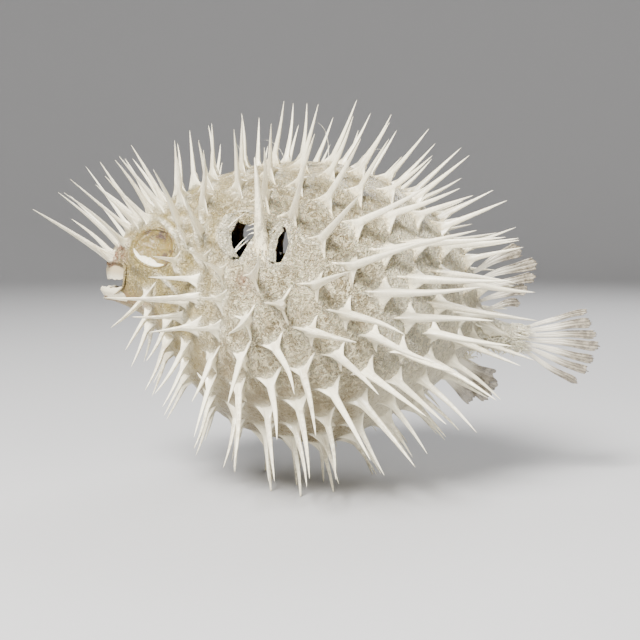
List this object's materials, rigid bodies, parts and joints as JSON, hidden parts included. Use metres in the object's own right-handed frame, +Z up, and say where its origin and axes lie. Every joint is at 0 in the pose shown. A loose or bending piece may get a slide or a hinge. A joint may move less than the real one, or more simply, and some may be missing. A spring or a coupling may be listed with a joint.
{
  "type": "dried inflated porcupinefish",
  "caption": "Dried, inflated porcupinefish: a hollow papery skin set with long three-rooted spines, with beak, eye sockets, gill openings and fins, standing on its belly spines.",
  "frame": {"origin": "on the ground, below the middle of the whole outline with its spines and fins", "axes": "+X from the mouth to the tail, +Y to the fish's right side, +Z up"},
  "size_m": [0.1648, 0.1405, 0.1141],
  "materials": {
    "dried_skin": "dry, papery, yellowish white, with glossy white spines",
    "dried_fin": "dry, half transparent, between pale rays",
    "beak": "smooth, greyish tan enamel",
    "dried_eye": "dull tan membrane"
  },
  "bodies": {
    "root": {"head": "dried_skin", "back": "dried_skin", "flank_left": "dried_skin", "flank_right": "dried_skin", "belly_front": "dried_skin", "belly_rear": "dried_skin", "rump": "dried_skin", "tail_stalk": "dried_skin", "fin_dorsal": "dried_fin", "fin_anal": "dried_fin", "fin_caudal": "dried_fin", "beak_upper": "beak", "beak_lower": "beak", "eye_left": "dried_eye", "eye_right": "dried_eye"}
  },
  "joints": []
}
